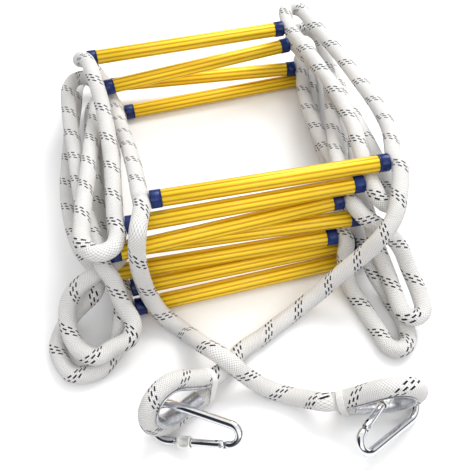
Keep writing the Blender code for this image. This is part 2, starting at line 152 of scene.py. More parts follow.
def passing(
    name: str,
    side: Side,
    going: Going,
    rises: Triple = (0.0, 0.0, 0.0),
    reach: float = 12.0,
) -> list[Vector]:
    """Three points of a rope that runs straight past the end of a rung.

    Args:
        name: The rung.
        side: Which of its ends.
        going: Whether the rope runs to the back or to the front there.
        rises: Height of each point over the rung's axis.
        reach: Distance from the middle point to the others.

    Returns:
        The points, in the order that the rope meets them.
    """
    pass_gap, pass_ease = 0.5, 0.7
    place = RUNG_PLACES[name]
    axis = place.axis()
    across = Vector((-axis.y, axis.x, 0.0)) * going.value
    out = axis * side.value
    middle = Vector(place.middle) + out * (RUNG_LENGTH / 2 + ROPE_RADIUS + pass_gap)
    return [
        middle - across * reach + out * pass_ease + UP * rises[0],
        middle + UP * rises[1],
        middle + across * reach + out * pass_ease + UP * rises[2],
    ]


def frame_of(centre: Sequence[float], first: Sequence[float], second: Sequence[float]) -> Matrix:
    """A frame from its centre, its X direction and a direction near its Y.

    Args:
        centre: Where it is.
        first: Its X direction.
        second: A direction that its Y direction comes near.

    Returns:
        The frame as a matrix of millimetres.
    """
    x_way = Vector(first).normalized()
    z_way = x_way.cross(Vector(second)).normalized()
    rows = Matrix((x_way, z_way.cross(x_way), z_way)).transposed().to_4x4()
    rows.translation = Vector(centre)
    return rows


def arc(
    radius: float, start: float, stop: float, steps: int, centre: Sequence[float] = (0.0, 0.0, 0.0)
) -> list[Vector]:
    """Points of an arc in a plane of constant Z.

    Args:
        radius: Its radius.
        start: The angle that it starts at, in radians.
        stop: The angle that it ends at.
        steps: How many equal parts it has.
        centre: Its centre.

    Returns:
        The points, with both ends.
    """
    points = []
    for step in range(steps + 1):
        angle = start + (stop - start) * step / steps
        points.append(Vector(centre) + Vector((math.cos(angle), math.sin(angle), 0.0)) * radius)
    return points


@dataclass(frozen=True)
class HookPlace:
    """Where one rope eye and its carabiner lie.

    The eye is given by its frame and by which of its legs stands. The carabiner is given by the point
    of its bow that bears on the rope, that point's turn round the bow in degrees, and two directions
    of its plane.
    """

    side: Side
    eye: Matrix
    standing: int
    seat: Triple
    seat_turn: float
    bow_out: Triple
    bow_gate: Triple
    eye_radius: float = 31.0
    throat: float = 62.0
    throat_gap: float = 1.4
    lead: float = 12.0
    lead_part: float = 2.0

    @property
    def bow(self) -> Matrix:
        """The carabiner's frame, at the middle of its bow.

        Returns:
            The frame as a matrix of millimetres.
        """
        turn = math.radians(self.seat_turn)
        place = frame_of((0.0, 0.0, 0.0), self.bow_out, self.bow_gate)
        arm = place @ Vector((math.cos(turn), math.sin(turn), 0.0))
        place.translation = Vector(self.seat) - arm * BOW_RADIUS
        return place

    def eye_points(self) -> list[Vector]:
        """Centreline of the eye in its own frame.

        Returns:
            Its points, from the standing leg round to the cut end.
        """
        throat = Vector((-self.throat, ROPE_RADIUS + self.throat_gap / 2, 0.0))
        start = math.atan2(throat.y, throat.x) - math.acos(self.eye_radius / throat.length)
        bend = arc(self.eye_radius, start, -start, 16)
        leg = [throat.lerp(bend[0], part) for part in (0.0, 0.3, 0.65)]
        end = [Vector((point.x, -point.y, 0.0)) for point in reversed(leg)]
        return [Vector((point.x, point.y * self.standing, 0.0)) for point in leg + bend + end]

    def eye_route(self) -> list[Vector]:
        """The eye's centreline in the ladder's frame, with the first straight run of the tail before it.

        Returns:
            Its points, from the tail to the cut end.
        """
        half = ROPE_RADIUS + self.throat_gap / 2 + self.lead_part
        lead = Vector((-self.throat - self.lead, half * self.standing, 0.0))
        return [self.eye @ point for point in (lead, *self.eye_points())]


HOOK_PLACES = {
    Side.LEFT: HookPlace(
        side=Side.LEFT,
        eye=frame_of((-135.5, -280.3, 44.9), (-0.831, -0.392, 0.395), (-0.234, -0.397, -0.887)),
        standing=-1,
        seat=(-158.9, -293.6, 9.6),
        seat_turn=30.0,
        bow_out=(-0.889, 0.368, -0.274),
        bow_gate=(-0.107, -0.746, -0.657),
    ),
    Side.RIGHT: HookPlace(
        side=Side.RIGHT,
        eye=frame_of((115.9, -321.6, 41.2), (0.939, -0.166, 0.300), (-0.317, -0.081, 0.945)),
        standing=1,
        seat=(149.3, -311.1, 16.9),
        seat_turn=0.0,
        bow_out=(0.748, 0.649, -0.139),
        bow_gate=(-0.439, 0.640, 0.631),
    ),
}


def left_route() -> list[Sequence[float]]:
    """The left rope after its eye.

    Returns:
        Points from its tail to its cut end at the lowest rung.
    """
    left = Side.LEFT
    return [
        (26, -298.5, 20.5), (6, -285.5, 12.6), (-22, -268, 14), (-44, -253, 29), (-57, -242.5, 41),
        (-70, -229, 44.5), (-86, -203, 30), (-102.7, -170.5, 11.5), (-125.4, -147, 20),
        (-137.9, -132.3, 44), (-144.2, -123.4, 82), (-144.1, -116.4, 120), (-138.6, -103.6, 145),
        *passing("f1", left, Going.BACK, (2, 0, -1)),
        (-130, 0, 130), (-133, 70, 106), (-138, 145, 76), (-143, 205, 57), (-148, 243, 56.3),
        (-162, 280, 74), (-181, 288, 100),
        *passing("b1", left, Going.FRONT, (-9, 0, 9)),
        (-172, 222, 146), (-166, 190, 148), (-159, 130, 134), (-158, 50, 121), (-162, -30, 123),
        *passing("f2", left, Going.FRONT),
        (-172, -108, 125), (-190, -113, 125), (-205, -96, 125), (-203, -50, 123), (-193, 20, 114),
        (-182, 100, 103), (-170, 180, 88),
        *passing("b2", left, Going.BACK),
        (-174, 262, 79), (-192, 270, 79), (-207, 250, 79), (-211, 190, 80), (-208, 100, 83),
        (-204, 0, 93),
        *passing("f3", left, Going.FRONT, (0, 0, -1)),
        (-179.5, -123.4, 84), (-172.8, -143.2, 58), (-163.9, -164.7, 40), (-171.6, -179.7, 31.5),
        (-192.2, -188.1, 31.5), (-213.5, -196.1, 31.5), (-232.8, -180.8, 31.5), (-242, -155, 35),
        (-240, -131, 50), (-228, -121, 68), (-208, -113, 78.2), (-187, -102.5, 78.7),
        *passing("f4", left, Going.BACK),
        (-166, -40, 77), (-162, 50, 62), (-157, 130, 44), (-156, 200, 34), (-155, 250, 33.5),
        *passing("b3", left, Going.BACK),
        (-162, 322, 35), (-180, 330, 35), (-196, 310, 35), (-206, 250, 38), (-220, 150, 43),
        (-228, 50, 46), (-218, -40, 53),
        *passing("f5", left, Going.FRONT, (0, 0, -2), 9.0),
        (-206, -113, 46), (-225.2, -119, 31), (-241.7, -127, 20), (-254.5, -140, 11.5),
        (-261.3, -164.4, 10.6), (-245.3, -201.6, 10.6), (-216.2, -203.7, 10.6),
        (-193.2, -183.2, 10.6), (-183.5, -160.5, 18), (-175.5, -140.7, 34),
        *passing("f6", left, Going.BACK),
        (-172, -50, 32), (-168, 40, 27), (-161, 140, 16.5), (-147, 220, 12),
        *passing("b4", left, Going.BACK, (0, 0, -0.5)),
        (-146, 282, 10.7), (-164, 292, 10.6), (-180, 274, 10.6), (-188, 200, 10.6),
        (-191, 100, 10.6), (-187, 0, 10.6), (-176, -80, 11),
        *passing("f7", left, Going.FRONT, (0, 0, -0.4), 9.0),
    ]


def right_route() -> list[Sequence[float]]:
    """The right rope after its eye.

    Returns:
        Points from its tail to its cut end at the lowest rung.
    """
    right = Side.RIGHT
    return [
        (-57, -234, 16.5), (-38.9, -215, 11.4), (-1.4, -196.3, 10.7), (38.2, -175.2, 12),
        (72.3, -163.3, 28), (100.7, -157.2, 54), (128.6, -153.4, 82), (151.8, -149, 109),
        (171.1, -134, 125), (183.1, -113.1, 136),
        *passing("f1", right, Going.BACK, (-1, 0, -0.5)),
        (211, 0, 138), (219, 60, 124), (216, 140, 112), (204, 220, 110), (188, 285, 112),
        (175, 317, 117), (155, 322, 121),
        *passing("b1", right, Going.FRONT),
        (150, 225, 125), (160, 165, 127), (170, 100, 125), (173, 30, 122), (167, -30, 120),
        *passing("f2", right, Going.FRONT, (-2.6, -0.6, -1)),
        (168, -99, 117), (183, -101, 108), (192, -83, 103), (194, -30, 102), (192, 40, 101),
        (188, 110, 100), (174, 200, 92),
        *passing("b2", right, Going.BACK, (1, 0, 0)),
        (169, 312, 79), (187, 318, 79), (202, 298, 78), (200, 235, 73), (182, 150, 72),
        (156, 50, 84), (141, -20, 98),
        *passing("f3", right, Going.FRONT, (0, 0, 0.9)),
        (146, -104, 99), (162, -120, 93.3), (184, -140, 75), (194, -165, 52), (199, -195, 38),
        (197, -217, 33), (184, -228, 31.5), (172, -214, 32), (170, -188, 35), (168, -157, 44),
        (162, -126, 62),
        *passing("f4", right, Going.BACK),
        (158, -40, 77), (150, 60, 60), (152, 160, 46), (162, 230, 37),
        *passing("b3", right, Going.BACK),
        (181, 304, 35), (199, 310, 35), (213, 290, 35), (208, 220, 38), (188, 110, 40),
        (152, 0, 43), (136, -45, 52),
        *passing("f5", right, Going.FRONT, (0, 0, -1)),
        (121.8, -124.4, 43), (123.6, -147.7, 17), (132.2, -186.6, 10.6), (140.7, -225, 10.6),
        (145.1, -246.5, 10.6), (157.1, -254, 10.6), (171.5, -243.4, 10.6), (176, -220.5, 10.6),
        (171.2, -180.9, 11), (158, -146, 27),
        *passing("f6", right, Going.BACK),
        (158, -40, 27), (159, 60, 16), (164, 160, 14), (180, 230, 13),
        *passing("b4", right, Going.BACK, (0, 0, -0.5)),
        (199, 302, 10.7), (217, 308, 10.6), (232, 288, 10.6), (227, 210, 10.6), (210, 110, 10.6),
        (190, 10, 10.6), (167, -65, 11),
        *passing("f7", right, Going.FRONT, (0, 0, -0.4), 9.0),
    ]


def smooth(points: Line, steps: int = 12) -> list[Vector]:
    """A centripetal Catmull-Rom curve through the points, read densely.

    Args:
        points: What the curve passes through.
        steps: Points read between each two.

    Returns:
        The points read.
    """
    chain = [2 * points[0] - points[1], *points, 2 * points[-1] - points[-2]]
    dense = []
    for p0, p1, p2, p3 in zip(chain, chain[1:], chain[2:], chain[3:]):
        t1 = (p1 - p0).length ** 0.5
        t2 = t1 + (p2 - p1).length ** 0.5
        t3 = t2 + (p3 - p2).length ** 0.5
        for step in range(steps):
            t = t1 + (t2 - t1) * step / steps
            a1 = p0.lerp(p1, t / t1)
            a2 = p1.lerp(p2, (t - t1) / (t2 - t1))
            a3 = p2.lerp(p3, (t - t2) / (t3 - t2))
            b1 = a1.lerp(a2, t / t2)
            b2 = a2.lerp(a3, (t - t1) / (t3 - t1))
            dense.append(b1.lerp(b2, (t - t1) / (t2 - t1)))
    return [*dense, points[-1].copy()]


def evenly(line: Line, spacing: float) -> list[Vector]:
    """The same line with its points the same distance apart.

    Args:
        line: A dense line.
        spacing: The distance wanted, met as nearly as a whole count allows.

    Returns:
        The new points, with the line's own two ends.
    """
    along = [0.0]
    for first, second in zip(line, line[1:]):
        along.append(along[-1] + (second - first).length)
    count = max(2, round(along[-1] / spacing))
    placed = []
    at = 0
    for step in range(count):
        want = along[-1] * step / count
        while along[at + 1] < want:
            at += 1
        part = (want - along[at]) / max(along[at + 1] - along[at], 1e-9)
        placed.append(line[at].lerp(line[at + 1], part))
    return [*placed, line[-1].copy()]


def eased(line: Line, least: float, passes: int = 60) -> list[Vector]:
    """The same line with its tightest bends opened a little.

    Args:
        line: Even points.
        least: The bend radius worked towards.
        passes: How many times each point is drawn towards its neighbours.

    Returns:
        The new points.
    """
    made = [point.copy() for point in line]
    for _ in range(passes):
        before = [point.copy() for point in made]
        for i, (last, here, ahead) in enumerate(zip(before, before[1:], before[2:]), 1):
            sag = (last + ahead) / 2 - here
            allowed = ((ahead - last).length / 2) ** 2 / (2 * least)
            if sag.length > allowed:
                made[i] = here + sag * (0.5 - 0.5 * allowed / sag.length)
    return made


def crosswise(line: Line, closed: bool = False) -> list[tuple[Vector, Vector]]:
    """Two directions across the line at each of its points, carried along it without twist.

    Args:
        line: The points.
        closed: Whether the last point joins the first.

    Returns:
        A pair of unit directions for each point.
    """
    count = len(line)
    pairs = []
    side = None
    for i, point in enumerate(line):
        before = line[i - 1] if i or closed else point
        after = line[(i + 1) % count] if i + 1 < count or closed else point
        heading = (after - before).normalized()
        if side is None:
            side = heading.orthogonal()
        side = (side - heading * side.dot(heading)).normalized()
        pairs.append((side.copy(), heading.cross(side)))
    return pairs


def round_rings(
    line: Line, radii: Sequence[float], sides: int, closed: bool = False
) -> list[Ring]:
    """Round rings of points across a line.

    Args:
        line: Where their middles are.
        radii: The radius at each.
        sides: Points in a ring.
        closed: Whether the line is a loop.

    Returns:
        One ring for each point of the line.
    """
    rings = []
    for point, radius, (first, second) in zip(line, radii, crosswise(line, closed)):
        ring = []
        for i in range(sides):
            angle = 2 * math.pi * i / sides
            ring.append(point + (first * math.cos(angle) + second * math.sin(angle)) * radius)
        rings.append(ring)
    return rings


def polar_ring(x: float, radii: Sequence[float]) -> Ring:
    """A ring about the X axis.

    Args:
        x: Where it stands on the axis.
        radii: The radius of each of its points, which lie evenly round it.

    Returns:
        The ring.
    """
    ring = []
    for i, radius in enumerate(radii):
        angle = 2 * math.pi * i / len(radii)
        ring.append(Vector((x, radius * math.cos(angle), radius * math.sin(angle))))
    return ring


def turned_rings(profile: Sequence[tuple[float, float]], sides: int) -> list[Ring]:
    """A profile of (x, radius) points turned about the X axis, one ring for each point."""
    return [polar_ring(x, [radius] * sides) for x, radius in profile]


def quarter_turn(steps: int) -> list[tuple[float, float]]:
    """Cosine and sine of even steps from 0 to 90 degrees."""
    angles = [math.pi / 2 * step / steps for step in range(steps + 1)]
    return [(math.cos(angle), math.sin(angle)) for angle in angles]


class Shape:
    """A mesh in the making, in millimetres, with a map of metres along by turns around."""

    def __init__(self) -> None:
        """Starts with nothing in it."""
        self.mesh = bmesh.new()
        self.lay = self.mesh.loops.layers.uv.new(LAY_MAP)

    def skin(self, rings: Sequence[Ring], closed: bool = False) -> "Shape":
        """Adds the surface that joins rings of points.

        Args:
            rings: Rings with the same count of points.
            closed: Joins the last ring to the first. Otherwise a face closes each of them.

        Returns:
            The shape itself.
        """
        made = [[self.mesh.verts.new(point) for point in ring] for ring in rings]
        along = [0.0]
        for first, second in zip(rings, [*rings[1:], rings[0]]):
            along.append(along[-1] + (second[0] - first[0]).length * MM)
        count = len(rings[0])
        for i in range(len(rings) if closed else len(rings) - 1):
            first, second = made[i], made[(i + 1) % len(made)]
            for j in range(count):
                k = (j + 1) % count
                face = self.mesh.faces.new((first[j], first[k], second[k], second[j]))
                corners = ((i, j), (i, j + 1), (i + 1, j + 1), (i + 1, j))
                for loop, (row, column) in zip(face.loops, corners):
                    loop[self.lay].uv = (along[row], column / count)
        if not closed:
            self.mesh.faces.new(made[0])
            self.mesh.faces.new(made[-1])
        return self

    def box(self, low: Sequence[float], high: Sequence[float]) -> "Shape":
        """Adds a plain block.

        Args:
            low: Its corner with the least coordinates.
            high: The corner across from it.

        Returns:
            The shape itself.
        """
        for vertex in bmesh.ops.create_cube(self.mesh, size=1.0)["verts"]:
            part = vertex.co + Vector((0.5, 0.5, 0.5))
            vertex.co = Vector([a + (b - a) * t for a, b, t in zip(low, high, part)])
        return self

    def finish(self, name: str, place: Matrix | None, sharp: float) -> Mesh:
        """Turns it into a mesh in metres of the scene.

        Args:
            name: The mesh's name.
            place: The frame that its points are in, or none for the ladder's own.
            sharp: Edges that turn by more than this many degrees stay sharp.

        Returns:
            The mesh.
        """
        bmesh.ops.recalc_face_normals(self.mesh, faces=self.mesh.faces)
        for vertex in self.mesh.verts:
            vertex.co = to_scene(place @ vertex.co if place else vertex.co)
        mesh = bpy.data.meshes.new(name)
        self.mesh.to_mesh(mesh)
        self.mesh.free()
        for face in mesh.polygons:
            face.use_smooth = True
        mesh.set_sharp_from_angle(angle=math.radians(sharp))
        return mesh


def add_piece(
    name: str,
    shape: Shape,
    finish: Material,
    body: str,
    solid: str,
    place: Matrix | None = None,
    sharp: float = 35.0,
) -> Object:
    """Adds a piece that moves with a body and wears the finish given.

    Args:
        name: The piece's name.
        shape: Its shape.
        finish: Its material.
        body: The body that carries it.
        solid: The solid that it takes the place of.
        place: The frame that the shape's points are in, or none for the ladder's own.
        sharp: Edges that turn by more than this many degrees stay sharp.

    Returns:
        The piece.
    """
    mesh = shape.finish(name, place, sharp)
    piece = bpy.data.objects.new(name, mesh)
    bpy.context.scene.collection.objects.link(piece)
    mesh.materials.append(finish)
    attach(piece, body)
    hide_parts(solid)
    log.info("%s rides on %s, %d faces", name, body, len(mesh.polygons))
    return piece


def dress_solid(node: str, finish: Material) -> None:
    """Gives a solid that stays in view a finish.

    Args:
        node: The solid's name.
        finish: Its material.
    """
    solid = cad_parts[node]
    solid.data.materials.clear()
    solid.data.materials.append(finish)
    log.info("%s keeps its solid", node)


def cut_away(target: Object, tool: Shape, place: Matrix) -> None:
    """Takes a shape away from a piece.

    Args:
        target: The piece.
        tool: What is taken away.
        place: The frame that the tool's points are in.
    """
    cutter = bpy.data.objects.new("cutter", tool.finish("cutter", place, 35.0))
    bpy.context.scene.collection.objects.link(cutter)
    modifier = target.modifiers.new("cut", "BOOLEAN")
    modifier.operation = "DIFFERENCE"
    modifier.solver = "EXACT"
    modifier.object = cutter
    bpy.context.view_layer.update()
    graph = bpy.context.evaluated_depsgraph_get()
    done = bpy.data.meshes.new_from_object(target.evaluated_get(graph))
    target.modifiers.clear()
    target.data = done
    bpy.data.objects.remove(cutter)


class Sketch:
    """A node tree in the making: short calls for the nodes that the finishes use."""

    def __init__(self, tree: NodeTree) -> None:
        """Takes the tree to draw in."""
        self.tree = tree

    def feed(self, socket: NodeSocket, value: object) -> None:
        """Links an output to a socket, or sets the socket's own value.

        Args:
            socket: The socket.
            value: An output, or a plain value. A plain colour has three parts.
        """
        if isinstance(value, NodeSocket):
            self.tree.links.new(value, socket)
        elif socket.type == "RGBA":
            socket.default_value = (*value, 1.0)
        else:
            socket.default_value = value

    def add(self, kind: str, given: dict[str | int, object], **settings: object) -> NodeOutputs:
        """Adds a node.

        Args:
            kind: Its type.
            given: What goes into its sockets, by their names or numbers.
            **settings: Its properties.

        Returns:
            Its outputs.
        """
        made = self.tree.nodes.new(kind)
        for name, value in settings.items():
            setattr(made, name, value)
        for key, value in given.items():
            self.feed(made.inputs[key], value)
        return made.outputs

    def math(self, operation: str, *values: object) -> NodeSocket:
        """The result of a math node."""
        return self.add("ShaderNodeMath", dict(enumerate(values)), operation=operation)[0]

    def ramp(
        self, value: object, low: object, high: object, first: float = 0.0, last: float = 1.0
    ) -> NodeSocket:
        """A value carried smoothly from the range of low to high to that of first to last."""
        given = {"Value": value, "From Min": low, "From Max": high, "To Min": first, "To Max": last}
        return self.add("ShaderNodeMapRange", given, interpolation_type="SMOOTHSTEP")["Result"]

    def window(self, value: object, low: float, high: float, soft: float) -> NodeSocket:
        """A mask of 1 where the value is between low and high, with soft edges."""
        rise = self.ramp(value, low - soft, low + soft)
        return self.math("MULTIPLY", rise, self.ramp(value, high - soft, high + soft, 1.0, 0.0))

    def blend(self, part: object, first: object, second: object) -> NodeSocket:
        """Two colours mixed by a part. The node's colour sockets are inputs 6 and 7 and output 2."""
        return self.add("ShaderNodeMix", {0: part, 6: first, 7: second}, data_type="RGBA")[2]

    def noise(self, place: object, scale: object, detail: float, rough: float = 0.5) -> NodeSocket:
        """A noise value between 0 and 1."""
        given = {"Vector": place, "Scale": scale, "Detail": detail, "Roughness": rough}
        return self.add("ShaderNodeTexNoise", given)["Fac"]

    def stretched(self, place: object, scale: Triple) -> NodeSocket:
        """A place with each of its axes scaled."""
        return self.add("ShaderNodeMapping", {"Vector": place, "Scale": scale})["Vector"]

    def split(self, place: object) -> NodeOutputs:
        """The X, Y and Z of a place."""
        return self.add("ShaderNodeSeparateXYZ", {0: place})

    def group(self, tree: NodeTree, **values: object) -> NodeOutputs:
        """The outputs of a shared effect, whose inputs are given by socket name with _ for spaces."""
        given = {name.replace("_", " ").title(): value for name, value in values.items()}
        return self.add("ShaderNodeGroup", given, node_tree=tree)


class Effects:
    """The effects that several finishes share, each a node group made once."""

    def __init__(self) -> None:
        """Builds every group."""
        self.blotch = self.make_blotch()
        self.scuff = self.make_scuff()
        self.braid = self.make_braid()
        self.tracer = self.make_tracer()

    @staticmethod
    def start(
        name: str, inputs: dict[str, float], outputs: Sequence[str]
    ) -> tuple[Sketch, NodeOutputs, NodeInputs]:
        """An empty group with its sockets, the first of which is a place.

        Args:
            name: The group's name.
            inputs: The name and starting value of each further input.
            outputs: The names of the values that it puts out.

        Returns:
            The sketch to draw in, what goes into the group and what comes out of it.
        """
        tree = bpy.data.node_groups.new(name, "ShaderNodeTree")
        tree.interface.new_socket("Place", in_out="INPUT", socket_type="NodeSocketVector")
        for label, value in inputs.items():
            socket = tree.interface.new_socket(label, in_out="INPUT", socket_type="NodeSocketFloat")
            socket.default_value = value
        for label in outputs:
            tree.interface.new_socket(label, in_out="OUTPUT", socket_type="NodeSocketFloat")
        sketch = Sketch(tree)
        return sketch, sketch.add("NodeGroupInput", {}), tree.nodes.new("NodeGroupOutput").inputs

    def make_blotch(self) -> NodeTree:
        """Slow and fine unevenness of a made surface.

        Returns:
            The group.
        """
        scales = {"Broad": 14.0, "Fine": 420.0}
        sketch, given, out = self.start("uneven_surface", scales, tuple(scales))
        sketch.feed(out["Broad"], sketch.noise(given["Place"], given["Broad"], 3.0, 0.55))
        sketch.feed(out["Fine"], sketch.noise(given["Place"], given["Fine"], 2.0, 0.6))
        return sketch.tree

    def make_scuff(self) -> NodeTree:
        """Marks of handling: thin scratches in patches.

        Returns:
            The group.
        """
        sketch, given, out = self.start("handling_marks", {"Scale": 60.0, "Amount": 0.3}, ("Mask",))
        place, scale = given["Place"], given["Scale"]
        lines = sketch.noise(sketch.stretched(place, (1.0, 9.0, 5.0)), scale, 4.0, 0.7)
        patch = sketch.noise(place, sketch.math("MULTIPLY", scale, 0.35), 2.0)
        thin = sketch.window(lines, 0.49, 0.52, 0.02)
        some = sketch.ramp(patch, sketch.math("SUBTRACT", 0.75, given["Amount"]), 0.8)
        sketch.feed(out["Mask"], sketch.math("MULTIPLY", thin, some))
        return sketch.tree

    def make_braid(self) -> NodeTree:
        """Relief of strands that cross over and under round a cord, and a mask of the creases between them
        for painted shade.

        Returns:
            The group.
        """
        yarns, yarn_relief, strand_round, crease_shade_width = 6, 0.07, 0.6, 0.32
        inputs = {"Strands": 16.0, "Pick": 0.0024}
        sketch, given, out = self.start("braid_relief", inputs, ("Height", "Crease"))
        place = sketch.split(given["Place"])
        along = sketch.math("DIVIDE", place["X"], given["Pick"])
        around = sketch.math("MULTIPLY", place["Y"], given["Strands"])
        one_way = sketch.math("MULTIPLY", sketch.math("ADD", around, along), math.pi)
        other_way = sketch.math("MULTIPLY", sketch.math("SUBTRACT", around, along), math.pi)
        cross = sketch.math("MULTIPLY", sketch.math("SINE", one_way), sketch.math("SINE", other_way))
        lump = sketch.math("ABSOLUTE", cross)
        strand = sketch.math("POWER", lump, strand_round)
        yarn = sketch.math("SINE", sketch.math("MULTIPLY", one_way, yarns))
        sketch.feed(out["Height"], sketch.math("MULTIPLY_ADD", yarn, yarn_relief, strand))
        # The second output is painted shade: 1 in the creases between the strands, where the colour is
        # darkened.
        sketch.feed(out["Crease"], sketch.ramp(lump, 0.0, crease_shade_width, 1.0, 0.0))
        return sketch.tree

    def make_tracer(self) -> NodeTree:
        """Dark strands that wind round a cord and show as three rows of slanted dashes.

        Returns:
            The group.
        """
        last_row, shift, slant = 2.5, 0.16, -0.3
        dash_span, row_span = (0.17, 0.73), (0.24, 0.72)
        inputs = {"Pitch": 0.05, "Dashes": 8.0, "Row Width": 0.096}
        sketch, given, out = self.start("tracer_dashes", inputs, ("Mask",))
        place = sketch.split(given["Place"])
        turns = sketch.math("DIVIDE", place["X"], given["Pitch"])
        wound = sketch.math("FRACT", sketch.math("ADD", turns, place["Y"]))
        rows = sketch.math("DIVIDE", wound, given["Row Width"])
        row = sketch.math("FLOOR", rows)
        within = sketch.math("SUBTRACT", rows, row)
        dash = sketch.math("MULTIPLY", place["Y"], given["Dashes"])
        dash = sketch.math("MULTIPLY_ADD", row, shift, dash)
        dash = sketch.math("MULTIPLY_ADD", within, slant, dash)
        length = sketch.window(sketch.math("FRACT", dash), *dash_span, 0.04)
        width = sketch.window(within, *row_span, 0.05)
        three = sketch.math("LESS_THAN", row, last_row)
        sketch.feed(out["Mask"], sketch.math("MULTIPLY", sketch.math("MULTIPLY", length, width), three))
        return sketch.tree


class Coat(Sketch):
    """A material in the making: a sketch of its tree, and the sockets of its shader."""

    def __init__(self, name: str, **plain: float) -> None:
        """Starts a material.

        Args:
            name: Its name.
            **plain: Values that are the same all over, by socket name with _ for spaces.
        """
        self.made = bpy.data.materials.new(name)
        self.made.use_nodes = True
        super().__init__(self.made.node_tree)
        self.shader = self.tree.nodes["Principled BSDF"].inputs
        for label, value in plain.items():
            self.shader[label.replace("_", " ")].default_value = value

    def lay_place(self) -> NodeSocket:
        """The map of metres along and turns around."""
        return self.add("ShaderNodeUVMap", {}, uv_map=LAY_MAP)["UV"]

    def own_place(self) -> NodeSocket:
        """The piece's own coordinates, in metres."""
        return self.add("ShaderNodeTexCoord", {})["Object"]

    def dress(
        self, tone: object, rough: object, height: object, strength: float, distance: float
    ) -> Material:
        """Feeds the shader.

        Args:
            tone: The base colour.
            rough: The roughness.
            height: The relief.
            strength: How much of the relief shows.
            distance: How many metres a relief of 1 is.

        Returns:
            The material.
        """
        relief = {"Height": height, "Strength": strength, "Distance": distance}
        normal = self.add("ShaderNodeBump", relief)["Normal"]
        for label, value in {"Base Color": tone, "Roughness": rough, "Normal": normal}.items():
            self.feed(self.shader[label], value)
        return self.made


@dataclass(frozen=True)
class RungFinish:
    """Golden anodised tube, drawn with flutes: streaks run along it, and painted shade darkens the valleys
    between the flutes.
    """

    colour: Triple = (0.97, 0.62, 0.006)
    worn: Triple = (0.98, 0.75, 0.05)
    # valley_shade: the colour of the painted shade in the flute valleys.
    valley_shade: Triple = (0.55, 0.25, 0.003)
    scratch: Triple = (1.0, 0.86, 0.42)
    valley_shade_part: float = 0.85
    scratch_part: float = 0.35

    def material(self, effects: Effects) -> Material:
        """Builds the material.

        Args:
            effects: The shared effects.

        Returns:
            The material.
        """
        coat = Coat(
            "rung_gold", Metallic=0.3, Specular_IOR_Level=0.3, Coat_Weight=0.1, Coat_Roughness=0.2
        )
        lay, own = coat.lay_place(), coat.own_place()
        uneven = coat.group(effects.blotch, place=own, broad=16.0, fine=520.0)
        marks = coat.group(effects.scuff, place=own, scale=90.0, amount=0.3)
        streak = coat.noise(coat.stretched(lay, (6.0, 160.0, 1.0)), 1.0, 4.0, 0.6)
        ridge = coat.math("COSINE", coat.math("MULTIPLY", coat.split(lay)["Y"], 2 * math.pi * FLUTES))
        tone = coat.blend(coat.ramp(streak, 0.3, 0.75), self.colour, self.worn)
        # Painted shade: the valleys between the flutes are darkened towards the valley shade colour.
        tone = coat.blend(coat.ramp(ridge, -1.0, 0.4, self.valley_shade_part, 0.0), tone, self.valley_shade)
        tone = coat.blend(coat.math("MULTIPLY", marks["Mask"], self.scratch_part), tone, self.scratch)
        rough = coat.ramp(uneven["Broad"], 0.3, 0.7, 0.3, 0.44)
        return coat.dress(tone, rough, coat.math("ADD", streak, uneven["Fine"]), 0.12, 0.0004)


@dataclass(frozen=True)
class CapFinish:
    """Glossy navy moulded plastic, a little rubbed."""

    colour: Triple = (0.001, 0.009, 0.075)
    pale: Triple = (0.004, 0.034, 0.21)
    scratch: Triple = (0.12, 0.2, 0.45)
    pale_part: float = 0.6
    scratch_part: float = 0.3

    def material(self, effects: Effects) -> Material:
        """Builds the material.

        Args:
            effects: The shared effects.

        Returns:
            The material.
        """
        coat = Coat("cap_plastic", Specular_IOR_Level=0.25, Coat_Weight=0.1, Coat_Roughness=0.12)
        own = coat.own_place()
        uneven = coat.group(effects.blotch, place=own, broad=60.0, fine=900.0)
        marks = coat.group(effects.scuff, place=own, scale=160.0, amount=0.35)
        rubbed = coat.ramp(uneven["Broad"], 0.35, 0.7, 0.0, self.pale_part)
        tone = coat.blend(rubbed, self.colour, self.pale)
        tone = coat.blend(coat.math("MULTIPLY", marks["Mask"], self.scratch_part), tone, self.scratch)
        rough = coat.ramp(uneven["Broad"], 0.3, 0.7, 0.2, 0.34)
        return coat.dress(tone, rough, uneven["Fine"], 0.08, 0.0003)


